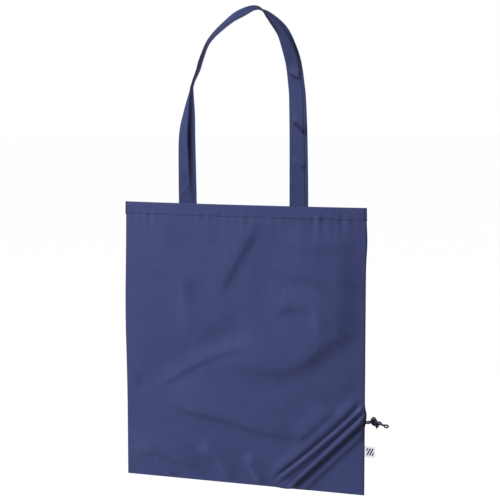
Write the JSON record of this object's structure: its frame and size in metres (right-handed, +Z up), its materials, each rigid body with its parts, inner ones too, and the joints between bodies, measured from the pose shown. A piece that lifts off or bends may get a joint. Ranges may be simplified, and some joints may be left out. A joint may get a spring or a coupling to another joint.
{
  "type": "foldable tote bag",
  "caption": "Foldable flat cloth shopping bag with long handles and a drawstring pouch across one lower corner.",
  "frame": {"origin": "the point the bag hangs from, on the underside of the front handle's cloth at its highest point", "axes": "+Z up, +X to the right along the mouth, the front panel faces -Y"},
  "size_m": [0.4165, 0.061, 0.7088],
  "materials": {
    "bag_cloth": "thin plain-woven polyester with a soft sheen",
    "handle_cloth": "the same cloth, folded and stitched",
    "thread": "polyester sewing thread",
    "drawstring": "round braided cord",
    "label": "woven satin label tape"
  },
  "bodies": {
    "handle_front": {"front_handle": "handle_cloth", "front_handle_stitching": "thread"},
    "bag": {"front_panel": "bag_cloth", "back_panel": "bag_cloth", "front_hem_facing": "bag_cloth", "back_hem_facing": "bag_cloth", "front_hem_stitching": "thread", "back_hem_stitching": "thread", "left_seam_allowance": "bag_cloth", "right_seam_allowance": "bag_cloth", "bottom_seam_allowance": "bag_cloth", "front_casing": "bag_cloth", "back_casing": "bag_cloth", "front_casing_stitching": "thread", "back_casing_stitching": "thread", "front_handle_ends": "handle_cloth", "rear_handle_ends": "handle_cloth"},
    "handle_rear": {"rear_handle": "handle_cloth", "rear_handle_stitching": "thread"},
    "cord": {"drawstring_front_run": "drawstring", "drawstring_back_run": "drawstring"},
    "cord_tail": {"drawstring_neck": "drawstring", "drawstring_knot": "drawstring", "drawstring_loop": "drawstring"},
    "label": {"side_label": "label"}
  },
  "joints": [
    {"name": "bag_swing", "type": "hinge", "parent": "handle_front", "child": "bag", "pos_m": [-0.018, 0, -0.281], "axis": [-1, 0, 0], "range_deg": [-85, 140]},
    {"name": "rear_handle_swing", "type": "hinge", "parent": "bag", "child": "handle_rear", "pos_m": [-0.018, 0.01814, -0.28825], "axis": [1, 0, 0], "range_deg": [0, 170]},
    {"name": "drawstring_pull", "type": "slide", "parent": "bag", "child": "cord", "axis": [0.7068, 0.0286, 0.7068], "range_m": [0, 0.08]},
    {"name": "drawstring_swing", "type": "hinge", "parent": "cord", "child": "cord_tail", "pos_m": [0.172, -0.00792, -0.594], "axis": [0, 1, 0], "range_deg": [-40, 40]},
    {"name": "label_flap", "type": "hinge", "parent": "bag", "child": "label", "pos_m": [0.1724, -0.00972, -0.6385], "axis": [0, 0, 1], "range_deg": [-80, 80]}
  ]
}
